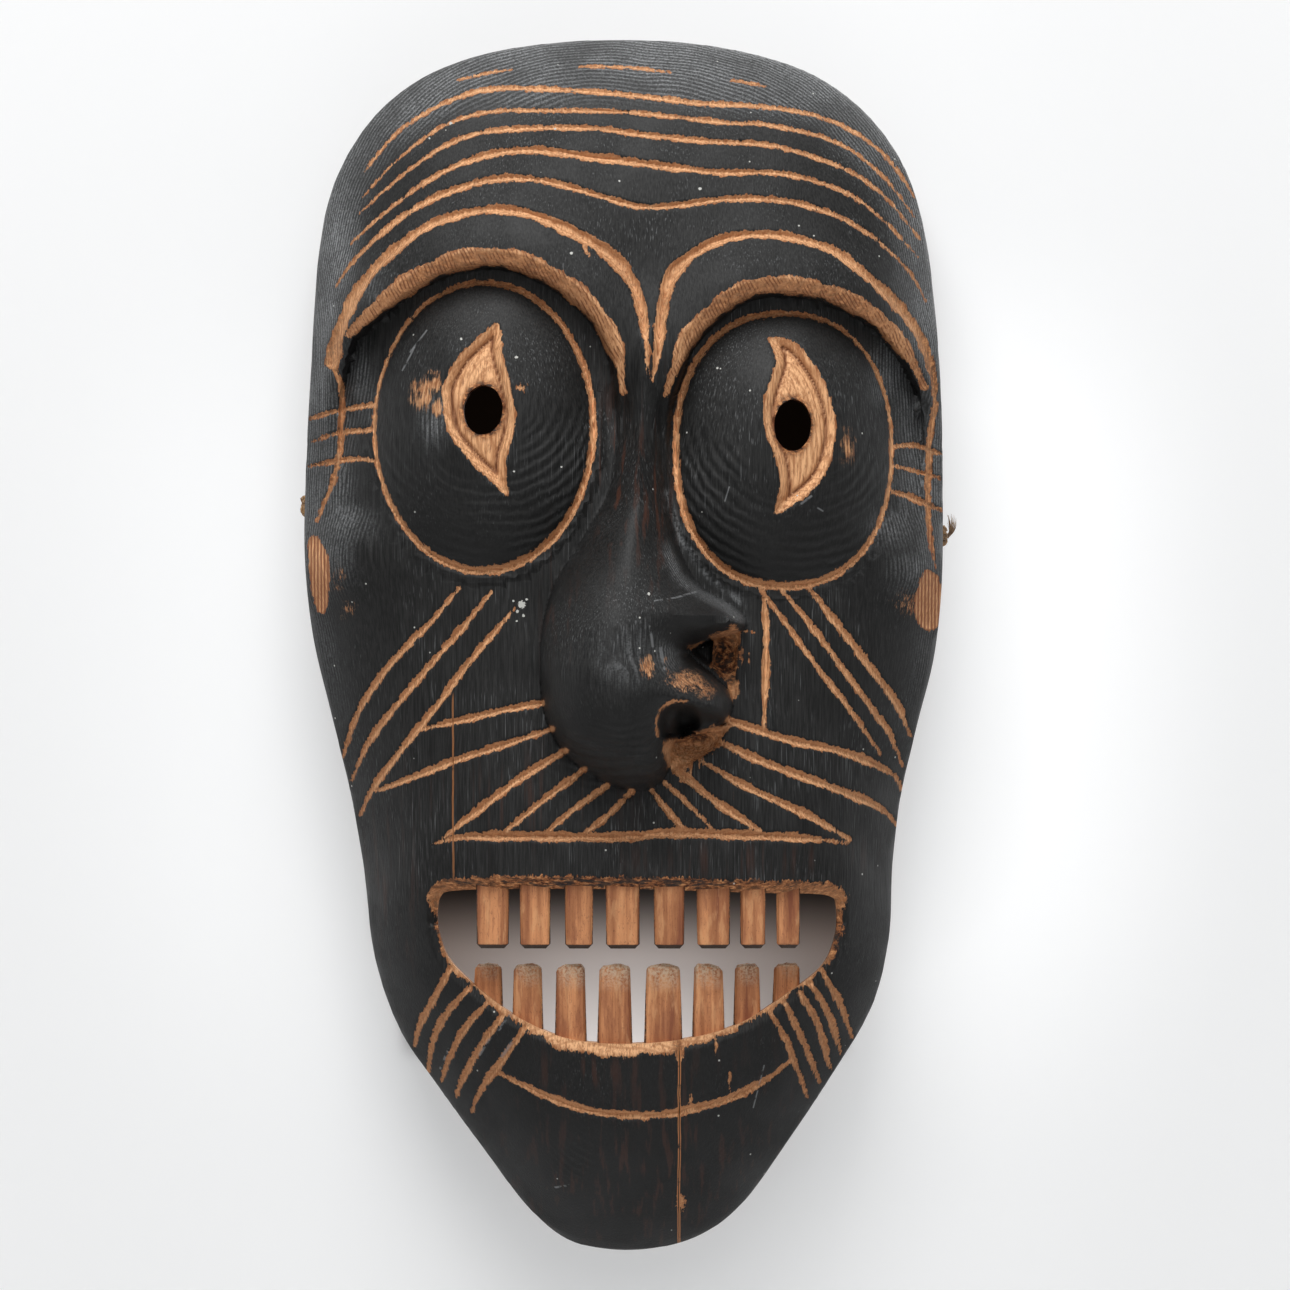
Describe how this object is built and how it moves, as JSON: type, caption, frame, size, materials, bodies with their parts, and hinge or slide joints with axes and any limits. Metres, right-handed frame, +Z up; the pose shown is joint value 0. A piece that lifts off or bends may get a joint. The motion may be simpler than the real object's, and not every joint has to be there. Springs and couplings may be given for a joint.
{
  "type": "carved wooden face mask",
  "caption": "Tall hollow carved face mask with bulging leaf-shaped eyes, a round nose, a wide open mouth with pegged teeth and a head cord.",
  "frame": {"origin": "centre of the 6 mm wall nail that the inner edge of the crown rim hangs on, in the plane of the back rim", "axes": "+Z up towards the crown, +Y out of the back rim into the wall, so the face looks along -Y; +X is to the right of someone facing it"},
  "size_m": [0.2199, 0.1191, 0.4],
  "materials": {
    "blackened_wood": "charred and waxed, cut lines raw",
    "raw_wood": "bare split softwood",
    "twine": "coarse twisted plant fibre"
  },
  "bodies": {
    "root": {"mask_shell": "blackened_wood", "upper_tooth_1": "raw_wood", "upper_tooth_2": "raw_wood", "upper_tooth_3": "raw_wood", "upper_tooth_4": "raw_wood", "upper_tooth_5": "raw_wood", "upper_tooth_6": "raw_wood", "upper_tooth_7": "raw_wood", "upper_tooth_8": "raw_wood", "lower_tooth_1": "raw_wood", "lower_tooth_2": "raw_wood", "lower_tooth_3": "raw_wood", "lower_tooth_4": "raw_wood", "lower_tooth_5": "raw_wood", "lower_tooth_6": "raw_wood", "lower_tooth_7": "raw_wood", "lower_tooth_8": "raw_wood", "head_cord": "twine", "left_cord_knot": "twine", "right_cord_knot": "twine", "frayed_cord_end": "twine"}
  },
  "joints": []
}
